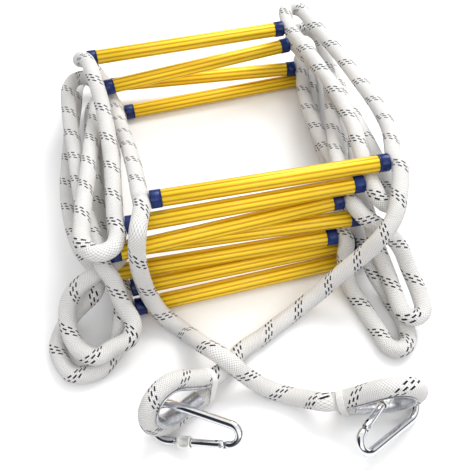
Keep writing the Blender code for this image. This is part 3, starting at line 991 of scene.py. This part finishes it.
@dataclass(frozen=True)
class RopeFinish:
    """Off-white braid with navy tracer strands, painted shade in the creases of the braid, and random
    soil.
    """

    name: str
    colour: Triple = (0.91, 0.90, 0.88)
    # shade: the colour of the painted shade in the braid's creases; the random soil also darkens towards
    # it.
    shade: Triple = (0.40, 0.37, 0.35)
    fibre: Triple = (0.95, 0.95, 0.94)
    tracer: Triple = (0.004, 0.006, 0.022)
    soil_part: float = 0.12
    crease_shade_part: float = 0.75
    fibre_part: float = 0.12
    fibre_relief: float = 0.35

    def material(self, effects: Effects) -> Material:
        """Builds the material.

        Args:
            effects: The shared effects.

        Returns:
            The material.
        """
        coat = Coat(self.name, Specular_IOR_Level=0.25, Sheen_Weight=0.05, Sheen_Roughness=0.6)
        lay = coat.lay_place()
        braid = coat.group(effects.braid, place=lay, strands=16.0, pick=0.0024)
        dashes = coat.group(effects.tracer, place=lay, pitch=0.05, dashes=8.0, row_width=0.096)
        uneven = coat.group(effects.blotch, place=coat.own_place(), broad=22.0, fine=1500.0)
        soil = coat.ramp(uneven["Broad"], 0.35, 0.75, 0.0, self.soil_part)
        tone = coat.blend(soil, self.colour, self.shade)
        # Painted shade: the creases between the strands are darkened towards the shade colour.
        tone = coat.blend(coat.math("MULTIPLY", braid["Crease"], self.crease_shade_part), tone, self.shade)
        tone = coat.blend(coat.ramp(uneven["Fine"], 0.3, 0.7, 0.0, self.fibre_part), tone, self.fibre)
        tone = coat.blend(dashes["Mask"], tone, self.tracer)
        rough = coat.ramp(uneven["Fine"], 0.3, 0.7, 0.78, 0.92)
        height = coat.math("MULTIPLY_ADD", uneven["Fine"], self.fibre_relief, braid["Height"])
        return coat.dress(tone, rough, height, 0.8, 0.0011)


@dataclass(frozen=True)
class ThreadFinish:
    """White whipping thread, twisted, with painted shade in the creases between its strands."""

    colour: Triple = (0.86, 0.86, 0.84)
    shade: Triple = (0.6, 0.59, 0.57)
    crease_shade_part: float = 0.6
    rough: float = 0.85

    def material(self, effects: Effects) -> Material:
        """Builds the material.

        Args:
            effects: The shared effects.

        Returns:
            The material.
        """
        coat = Coat("whipping_thread")
        braid = coat.group(effects.braid, place=coat.lay_place(), strands=3.0, pick=0.0024)
        # Painted shade: the creases between the strands are darkened towards the shade colour.
        crease_shade = coat.math("MULTIPLY", braid["Crease"], self.crease_shade_part)
        tone = coat.blend(crease_shade, self.colour, self.shade)
        return coat.dress(tone, self.rough, braid["Height"], 0.5, 0.0003)


@dataclass(frozen=True)
class MetalFinish:
    """Plated or bare steel: how pale, how polished and how marked it is."""

    name: str
    colour: Triple
    dull: Triple
    polish: float
    spangle: float = 0.2
    marks: float = 0.3
    spangle_scale: float = 260.0
    blotch_part: float = 0.4
    mark_rough: float = 0.2
    dull_rough: float = 1.6

    def material(self, effects: Effects) -> Material:
        """Builds the material.

        Args:
            effects: The shared effects.

        Returns:
            The material.
        """
        coat = Coat(self.name, Metallic=1.0)
        own = coat.own_place()
        uneven = coat.group(effects.blotch, place=own, broad=90.0, fine=1800.0)
        marks = coat.group(effects.scuff, place=own, scale=130.0, amount=self.marks)
        cells = coat.add("ShaderNodeTexVoronoi", {"Vector": own, "Scale": self.spangle_scale})
        grey = coat.math("MULTIPLY", cells["Distance"], self.spangle)
        part = coat.math("MULTIPLY_ADD", uneven["Broad"], self.blotch_part, grey)
        tone = coat.blend(coat.ramp(part, 0.1, 0.6), self.colour, self.dull)
        rough = coat.ramp(part, 0.1, 0.6, self.polish, self.polish * self.dull_rough)
        rough = coat.math("MULTIPLY_ADD", marks["Mask"], self.mark_rough, rough)
        return coat.dress(tone, rough, uneven["Fine"], 0.02, 0.0001)


class Finishes:
    """Every material of the ladder, built once."""

    def __init__(self, effects: Effects) -> None:
        """Builds the materials.

        Args:
            effects: The shared effects.
        """
        hook = MetalFinish("hook_zinc", (0.80, 0.81, 0.83), (0.66, 0.67, 0.70), 0.06)
        sleeve = MetalFinish("sleeve_zinc", (0.93, 0.93, 0.90), (0.82, 0.82, 0.79), 0.42)
        thimble = MetalFinish("thimble_zinc", (0.66, 0.67, 0.69), (0.46, 0.47, 0.5), 0.22, 0.5, 0.4)
        rod = MetalFinish("rod_steel", (0.56, 0.56, 0.58), (0.4, 0.4, 0.42), 0.3)
        self.rung = RungFinish().material(effects)
        self.cap = CapFinish().material(effects)
        self.ropes = {side: RopeFinish(f"rope_braid_{side.label}").material(effects) for side in Side}
        self.thread = ThreadFinish().material(effects)
        self.hook = hook.material(effects)
        self.sleeve = sleeve.material(effects)
        self.thimble = thimble.material(effects)
        self.rod = rod.material(effects)


@dataclass
class Rope:
    """One side rope: from its eye, along its tail and past the end of every rung."""

    side: Side
    finishes: Finishes
    radius: float = 10.8
    sides: int = 32
    spacing: float = 3.0
    least_bend: float = 16.0
    sway: float = 0.22
    sway_rate: float = 0.02
    tuck: float = 0.9
    tuck_length: float = 6.0
    floor_gap: float = 0.05

    def line(self) -> list[Vector]:
        """The rope's centreline, dense and even.

        Returns:
            Its points, from the eye to the cut end.
        """
        eye = list(reversed(HOOK_PLACES[self.side.other].eye_route()))
        route = left_route() if self.side is Side.LEFT else right_route()
        dense = smooth(eye + [Vector(point) for point in route])
        return eased(evenly(dense, self.spacing), self.least_bend)

    def radii(self, line: Line) -> list[float]:
        """The radius along the line: a little uneven, and drawn in at the cut ends.

        Args:
            line: The rope's centreline.

        Returns:
            The radius at each of its points.
        """
        made = []
        for i, point in enumerate(line):
            from_end = min(i, len(line) - 1 - i) * self.spacing
            tuck = self.tuck * max(0.0, 1.0 - from_end / self.tuck_length) ** 2
            made.append(self.radius + self.sway * noise.noise(point * self.sway_rate) - tuck)
        return made

    def build(self) -> None:
        line = self.line()
        rings = round_rings(line, self.radii(line), self.sides)
        for ring in rings:
            for point in ring:
                point.z = max(point.z, self.floor_gap)
        label = self.side.label
        name, solid = f"braided_rope_{label}", f"rope_{label}"
        shape = Shape().skin(rings)
        finish = self.finishes.ropes[self.side]
        piece = add_piece(name, shape, finish, "ladder", solid, sharp=60.0)


@dataclass
class Rung:
    """One rung: a fluted tube with a moulded cap on each end, tied to the ropes by a rod."""

    place: RungPlace
    finishes: Finishes
    ridge: float = 11.0
    valley: float = 10.3
    fullness: float = 0.7
    sides_per_flute: int = 10
    bore: float = 8.8
    end_gap: float = 0.3
    end_slope: float = 0.5
    end_drop: float = 0.35
    cap_length: float = 14.0
    cap_sides: int = 48
    rim: float = 1.1
    lip: float = 0.5
    hole: float = 2.8
    dish_depth: float = 0.8
    dish_flat: float = 3.2
    dish_slope: float = 1.0
    groove_at: float = 2.2
    groove_half: float = 0.4
    groove_shoulder: float = 0.12
    groove_depth: float = 0.34
    spigot_length: float = 11.0
    spigot_clearance: float = 0.5

    def tube(self) -> None:
        """Builds the fluted tube."""
        sides = FLUTES * self.sides_per_flute
        outline = []
        for i in range(sides):
            swell = abs(math.cos(math.pi * FLUTES * i / sides)) ** self.fullness
            outline.append(self.valley + (self.ridge - self.valley) * swell)
        ends = [radius - self.end_drop for radius in outline]
        reach = RUNG_LENGTH / 2 - self.cap_length - self.end_gap
        straight = reach - self.end_slope
        rings = [polar_ring(-reach, ends)]
        rings += [polar_ring(x, outline) for x in (-straight, 0.0, straight)]
        rings.append(polar_ring(reach, ends))
        rings += turned_rings([(reach, self.bore), (-reach, self.bore)], sides)
        name, solid = f"fluted_tube_{self.place.name}", f"rung_tube_{self.place.name}"
        shape = Shape().skin(rings, closed=True)
        place = self.place.matrix()
        add_piece(name, shape, self.finishes.rung, "ladder", solid, place, 50.0)

    def cap_profile(self) -> list[tuple[float, float]]:
        """The right cap's outline: a dished face, a round rim, a groove and a spigot.

        Returns:
            Its (x, radius) points, from the hole in the face to the hole in the spigot.
        """
        end = RUNG_LENGTH / 2
        inner = end - self.cap_length
        dish = end - self.dish_depth
        flat = self.hole + self.dish_flat
        profile = [(dish, self.hole), (dish, flat), (end, flat + self.dish_slope)]
        for across, up in quarter_turn(5):
            profile.append((end - self.rim * (1 - across), CAP_RADIUS - self.rim * (1 - up)))
        shoulder = CAP_RADIUS - self.groove_shoulder
        groove = inner + self.groove_at
        profile += [
            (groove + self.groove_half, shoulder),
            (groove, CAP_RADIUS - self.groove_depth),
            (groove - self.groove_half, shoulder),
        ]
        for across, up in quarter_turn(3):
            profile.append((inner + self.lip * (1 - up), CAP_RADIUS - self.lip * (1 - across)))
        spigot = self.bore - self.spigot_clearance
        tip = inner - self.spigot_length
        return [*profile, (inner, spigot), (tip, spigot), (tip, self.hole)]

    def cap(self, side: Side) -> None:
        """Builds the cap of one end.

        Args:
            side: Which end.
        """
        profile = [(x * side.value, radius) for x, radius in self.cap_profile()]
        shape = Shape().skin(turned_rings(profile, self.cap_sides), closed=True)
        end = f"{self.place.name}_{side.label}"
        name, solid = f"moulded_cap_{end}", f"rung_cap_{end}"
        add_piece(name, shape, self.finishes.cap, "ladder", solid, self.place.matrix())

    def build(self) -> None:
        """Builds the tube and both caps, and dresses the rod that ties the rung to the ropes."""
        self.tube()
        for side in Side:
            self.cap(side)
        dress_solid(f"tie_rod_{self.place.name}", self.finishes.rod)


@dataclass
class Eye:
    """The lining and the whipping of one rope eye."""

    place: HookPlace
    finishes: Finishes
    clearance: float = 1.15
    wall: float = 1.8
    spread: float = 66.0
    spacing: float = 2.5
    steps: int = 12
    whip_setback: float = 1.0
    whip_length: float = 8.0
    whip_clearance: float = 0.6
    whip_flare: float = 0.36
    thread_radius: float = 0.75
    thread_sides: int = 8
    thread_spacing: float = 3.0
    turns: int = 6

    def thimble(self) -> None:
        """Builds the grooved steel lining, with round lips."""
        dense = evenly(smooth(self.place.eye_points()[1:-1]), self.spacing)
        section = self.section()
        rings = []
        for i, here in enumerate(dense):
            before, after = dense[max(i - 1, 0)], dense[min(i + 1, len(dense) - 1)]
            heading = (after - before).normalized()
            inward = Vector((heading.y, -heading.x, 0.0)) * self.place.standing
            rings.append([here + inward * depth + UP * rise for depth, rise in section])
        label = self.place.side.label
        name, solid = f"thimble_lining_{label}", f"thimble_{label}"
        shape = Shape().skin(rings)
        add_piece(name, shape, self.finishes.thimble, "ladder", solid, self.place.eye)

    def section(self) -> list[tuple[float, float]]:
        """The lining's cross-section.

        Returns:
            Its (depth from the rope's middle, rise) points.
        """
        inside = ROPE_RADIUS + self.clearance
        points = []
        for radius, way in ((inside, 1), (inside + self.wall, -1)):
            for step in range(self.steps + 1):
                angle = math.radians(self.spread * way * (2 * step / self.steps - 1))
                points.append((radius * math.cos(angle), radius * math.sin(angle)))
            points += self.lip(way)
        return points

    def lip(self, side: int) -> list[tuple[float, float]]:
        """A round lip at one edge of the lining.

        Args:
            side: 1 for the upper edge, -1 for the lower.

        Returns:
            Its points, in the order that the section takes them.
        """
        half = self.wall / 2
        middle = ROPE_RADIUS + self.clearance + half
        points = []
        for step in range(1, 4):
            swing = math.pi * step / 4
            depth = middle - side * math.cos(swing) * half
            along = math.radians(self.spread) + math.sin(swing) * half / middle
            points.append((depth * math.cos(along), side * depth * math.sin(along)))
        return points

    def whipping(self) -> None:
        """Builds the thread that is wound round both legs at the throat."""
        place = self.place
        tall = ROPE_RADIUS + self.whip_clearance + self.thread_radius
        shape = Shape()
        for turn in range(self.turns):
            back = self.whip_setback + self.whip_length * (turn + 0.5) / self.turns
            spread = ROPE_RADIUS + place.throat_gap / 2 + back * self.whip_flare
            loop = []
            for end in (1, -1):
                for step in range(self.steps + 1):
                    angle = math.pi * (step / self.steps - 0.5)
                    across = end * (spread + tall * math.cos(angle))
                    loop.append(Vector((back - place.throat, across, end * tall * math.sin(angle))))
            loop = evenly([*loop, loop[0]], self.thread_spacing)[:-1]
            radii = [self.thread_radius] * len(loop)
            shape.skin(round_rings(loop, radii, self.thread_sides, closed=True), closed=True)
        label = place.side.label
        name, solid = f"thread_whipping_{label}", f"whipping_{label}"
        add_piece(name, shape, self.finishes.thread, "ladder", solid, place.eye, 80.0)

    def build(self) -> None:
        """Builds the lining and the whipping."""
        self.thimble()
        self.whipping()


@dataclass
class Carabiner:
    """One screw-gate hook: a bent wire body, a hinged gate and a knurled sleeve.

    In its own plane, x runs from the narrow end to the middle of the bow and y towards the gate.
    """

    place: HookPlace
    finishes: Finishes
    wire: float = 5.0
    wire_end: float = 4.4
    wire_sides: int = 28
    wire_spacing: float = 2.0
    sharp: float = 40.0
    narrow_radius: float = 12.0
    narrow_x: float = -74.0
    hinge_x: float = -64.0
    shoulder: float = 6.5
    buried: float = 3.0
    tongue_half: float = 1.8
    tongue_height: float = 3.7
    tongue_tip: float = 4.5
    gate_radius: float = 4.6
    gate_tip_x: float = -9.0
    gate_sides: int = 32
    gate_edge: tuple[tuple[float, float], ...] = ((0.6, 0.0), (0.15, 0.3), (0.0, 0.7))
    fork_back: float = 8.0
    fork_clearance: float = 0.4
    fork_gap: float = 2.5
    nose_gap: float = 0.5
    nose_tongue: float = 1.5
    nose_half: float = 1.4
    nose_height: float = 2.9
    catch_clearance: float = 0.5
    catch_gap: float = 1.5
    cut_half: float = 9.0
    rivet_half: float = 4.75
    rivet_head: float = 2.5
    rivet_dome: float = 0.8
    rivet_sink: float = 0.3
    rivet_sides: int = 20
    pin_radius: float = 1.5
    tip_radius: float = 0.05
    sleeve_length: float = 16.0
    sleeve_back: float = 2.4
    sleeve_clearance: float = 0.8
    sleeve_wall: float = 1.7
    sleeve_chamfer: float = 0.8
    collar: float = 2.2
    collar_slope: float = 0.3
    knurl_sink: float = 0.25
    knurl_height: float = 0.2
    knurls: int = 36

    def named(self, *words: str) -> list[str]:
        """The names of this hook's nodes and bodies that begin with the words."""
        return [f"{word}_{self.place.side.label}" for word in words]

    @property
    def gate_length(self) -> float:
        """Distance from the hinge to the gate's tip."""
        return self.gate_tip_x - self.hinge_x

    def swing(self) -> Matrix:
        """The gate's own frame, at its hinge."""
        return self.place.bow @ Matrix.Translation(Vector((self.hinge_x, BOW_RADIUS, 0.0)))

    def wire_line(self) -> list[Vector]:
        """Centreline of the body in its own plane.

        Returns:
            Its points, from the hinge round to the nose.
        """
        narrow = Vector((self.narrow_x, BOW_RADIUS - self.narrow_radius, 0.0))
        slope = math.acos((BOW_RADIUS - self.narrow_radius) / narrow.length)
        spine = math.atan2(narrow.y, narrow.x) + slope
        points = [Vector((self.hinge_x - self.shoulder, BOW_RADIUS, 0.0))]
        points += arc(self.narrow_radius, math.pi / 2, spine, 24, narrow)
        points += arc(BOW_RADIUS, spine, 2.5 * math.pi, 36)
        points.append(Vector((self.gate_tip_x + self.nose_gap, BOW_RADIUS, 0.0)))
        return evenly(points, self.wire_spacing)

    def body(self) -> None:
        """Builds the bent wire with its hinge tongue and its nose catch."""
        line = self.wire_line()
        radii = [self.wire_end, *[self.wire] * (len(line) - 2), self.wire_end]
        shape = Shape().skin(round_rings(line, radii, self.wire_sides))
        root = self.hinge_x - self.shoulder - self.buried
        tip = self.hinge_x + self.tongue_tip
        nose = self.gate_tip_x - self.nose_tongue
        nose_root = self.gate_tip_x + self.nose_gap + self.buried
        for low, high, tall, half in (
            (root, tip, self.tongue_height, self.tongue_half),
            (nose, nose_root, self.nose_height, self.nose_half),
        ):
            shape.box((low, BOW_RADIUS - tall, -half), (high, BOW_RADIUS + tall, half))
        name, body, solid = self.named("hook_wire", "carabiner", "carabiner_body")
        add_piece(name, shape, self.finishes.hook, body, solid, self.place.bow, self.sharp)

    def gate(self) -> None:
        """Builds the gate: a round bar, forked at the hinge and slotted at the nose."""
        length, radius = self.gate_length, self.gate_radius
        profile = [(-radius * across, max(radius * up, self.tip_radius)) for across, up in quarter_turn(6)]
        profile += [(length - back, radius - drop) for back, drop in self.gate_edge]
        name, body, solid = self.named("hook_gate", "gate", "gate")
        shape = Shape().skin(turned_rings(profile, self.gate_sides))
        place = self.swing()
        gate = add_piece(name, shape, self.finishes.hook, body, solid, place, self.sharp)
        catch = length - self.nose_tongue - self.catch_gap
        for low, high, half in (
            (-self.fork_back, self.tongue_tip + self.fork_gap, self.tongue_half + self.fork_clearance),
            (catch, length + self.buried, self.nose_half + self.catch_clearance),
        ):
            tool = Shape().box((low, -self.cut_half, -half), (high, self.cut_half, half))
            cut_away(gate, tool, place)
        gate.data.set_sharp_from_angle(angle=math.radians(self.sharp))
        dress_solid(f"gate_spring_{self.place.side.label}", self.finishes.rod)

    def rivet(self) -> None:
        """Builds the hinge rivet, with a domed head on each side."""
        half, head = self.rivet_half, self.rivet_head
        profile = []
        for across, up in quarter_turn(5):
            profile.append((-half - self.rivet_dome * across, max(head * up, self.tip_radius)))
        profile += [(self.rivet_sink - half, head), (self.rivet_sink - half, self.pin_radius)]
        profile += [(-x, radius) for x, radius in reversed(profile)]
        place = self.swing() @ Matrix.Rotation(math.radians(90), 4, "Y")
        name, body, solid = self.named("hinge_rivet", "carabiner", "hinge_pin")
        shape = Shape().skin(turned_rings(profile, self.rivet_sides))
        add_piece(name, shape, self.finishes.rod, body, solid, place)

    def sleeve(self) -> None:
        """Builds the screw sleeve: knurled between two plain collars."""
        end = self.gate_length - self.sleeve_back
        begin = end - self.sleeve_length
        inner = self.gate_radius + self.sleeve_clearance
        outer = inner + self.sleeve_wall
        profile = [
            (begin, inner, 0.0),
            (begin, outer - self.sleeve_chamfer, 0.0),
            (begin + self.sleeve_chamfer, outer, 0.0),
            (begin + self.collar, outer, 0.0),
            (begin + self.collar + self.collar_slope, outer - self.knurl_sink, self.knurl_height),
        ]
        profile += [(begin + end - x, radius, tooth) for x, radius, tooth in reversed(profile)]
        sides = 4 * self.knurls
        rings = []
        for x, radius, tooth in profile:
            waves = [math.cos(self.knurls * 2 * math.pi * i / sides) for i in range(sides)]
            rings.append(polar_ring(x, [radius + tooth * wave for wave in waves]))
        name, body, solid = self.named("knurled_sleeve", "sleeve", "screw_sleeve")
        shape = Shape().skin(rings, closed=True)
        add_piece(name, shape, self.finishes.sleeve, body, solid, self.swing(), 30.0)

    def build(self) -> None:
        """Builds the hook's pieces."""
        self.body()
        self.gate()
        self.rivet()
        self.sleeve()


@dataclass(frozen=True)
class Lamp:
    """A soft square lamp that faces the ladder: its place and side in metres, its power in watts."""

    name: str
    at: Triple
    power: float
    size: float

    def build(self) -> None:
        """Hangs the lamp."""
        data = bpy.data.lights.new(self.name, "AREA")
        data.energy = self.power
        data.size = self.size
        lamp = bpy.data.objects.new(self.name, data)
        lamp.location = self.at
        lamp.rotation_mode = "QUATERNION"
        lamp.rotation_quaternion = (-Vector(self.at)).to_track_quat("-Z", "Y")
        bpy.context.scene.collection.objects.link(lamp)


@dataclass
class Studio:
    """Floor, light and camera."""

    floor_colour: Triple = (0.97, 0.97, 0.97)
    floor_drift: Triple = (0.96, 0.96, 0.965)
    bounce_colour: Triple = (0.68, 0.68, 0.7)
    floor_size: float = 30.0
    sky_pale: Triple = (1.0, 1.0, 1.0)
    sky_dark: Triple = (0.03, 0.032, 0.04)
    sky_strength: float = 1.1
    rise_band: tuple[float, float] = (0.2, 0.62)
    rim_band: tuple[float, float] = (0.05, 0.12)
    panel_band: tuple[float, float] = (0.8, 0.88)
    panel_way: Triple = (-0.73, -0.13, 0.67)
    camera_at: Triple = (-134.85, -634.4, 799.0)
    camera_way: Triple = (0.128, 0.602, -0.788)
    lens: float = 54.38
    sensor: float = 36.0
    lamps: tuple[Lamp, ...] = (
        Lamp("key_lamp", (0.9, 1.0, 1.7), 33.0, 1.2),
        Lamp("fill_lamp", (0.3, -1.9, 1.5), 11.0, 1.4),
    )

    def floor(self) -> None:
        """A pale floor: white to the camera and in metal, and greyer in the light that it throws back."""
        shape = bmesh.new()
        bmesh.ops.create_grid(shape, x_segments=1, y_segments=1, size=self.floor_size)
        mesh = bpy.data.meshes.new("floor")
        shape.to_mesh(mesh)
        shape.free()
        floor = bpy.data.objects.new("floor", mesh)
        bpy.context.scene.collection.objects.link(floor)
        coat = Coat("floor_white", Roughness=0.7)
        drift = coat.noise(coat.own_place(), 1.5, 2.0)
        tone = coat.blend(drift, self.floor_colour, self.floor_drift)
        path = coat.add("ShaderNodeLightPath", {})
        shown = coat.math("MAXIMUM", path["Is Camera Ray"], path["Is Glossy Ray"])
        coat.feed(coat.shader["Base Color"], coat.blend(shown, self.bounce_colour, tone))
        mesh.materials.append(coat.made)

    def sky(self) -> None:
        """Even light from all round, dark low down and on one side so that metal has something to show."""
        world = bpy.data.worlds.new("studio")
        bpy.context.scene.world = world
        world.use_nodes = True
        sketch = Sketch(world.node_tree)
        way = sketch.add("ShaderNodeTexCoord", {})["Generated"]
        height = sketch.split(way)["Z"]
        rise = sketch.ramp(height, *self.rise_band)
        rim = sketch.ramp(height, *self.rim_band, 1.0, 0.0)
        tone = sketch.blend(sketch.math("MAXIMUM", rise, rim), self.sky_dark, self.sky_pale)
        aim = sketch.add("ShaderNodeVectorMath", {0: way, 1: self.panel_way}, operation="DOT_PRODUCT")
        panel = sketch.ramp(aim["Value"], *self.panel_band)
        path = sketch.add("ShaderNodeLightPath", {})
        shown = sketch.math("MULTIPLY", panel, path["Is Glossy Ray"])
        tone = sketch.blend(shown, tone, self.sky_dark)
        tone = sketch.blend(path["Is Camera Ray"], tone, self.sky_pale)
        ground = world.node_tree.nodes["Background"].inputs
        sketch.feed(ground["Color"], tone)
        ground["Strength"].default_value = self.sky_strength

    def camera(self) -> None:
        """The camera at the photograph's angle."""
        data = bpy.data.cameras.new("camera")
        data.lens = self.lens
        data.sensor_width = self.sensor
        data.clip_start = 0.01
        camera = bpy.data.objects.new("camera", data)
        camera.location = to_scene(Vector(self.camera_at))
        camera.rotation_mode = "QUATERNION"
        camera.rotation_quaternion = Vector(self.camera_way).to_track_quat("-Z", "Y")
        bpy.context.scene.collection.objects.link(camera)
        bpy.context.scene.camera = camera

    def build(self) -> None:
        """Builds all of it."""
        bpy.context.scene.view_settings.view_transform = "Standard"
        self.camera()
        self.floor()
        self.sky()
        for lamp in self.lamps:
            lamp.build()


def main() -> None:
    """Builds the studio, the ropes, the rungs and the hooks in that order."""
    logging.basicConfig(level=logging.INFO, format="%(name)s: %(message)s")
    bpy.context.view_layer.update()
    Studio().build()
    finishes = Finishes(Effects())
    for side in Side:
        Rope(side, finishes).build()
    for place in RUNG_PLACES.values():
        Rung(place, finishes).build()
    for place in HOOK_PLACES.values():
        Eye(place, finishes).build()
        Carabiner(place, finishes).build()


if __name__ == "__main__":
    main()
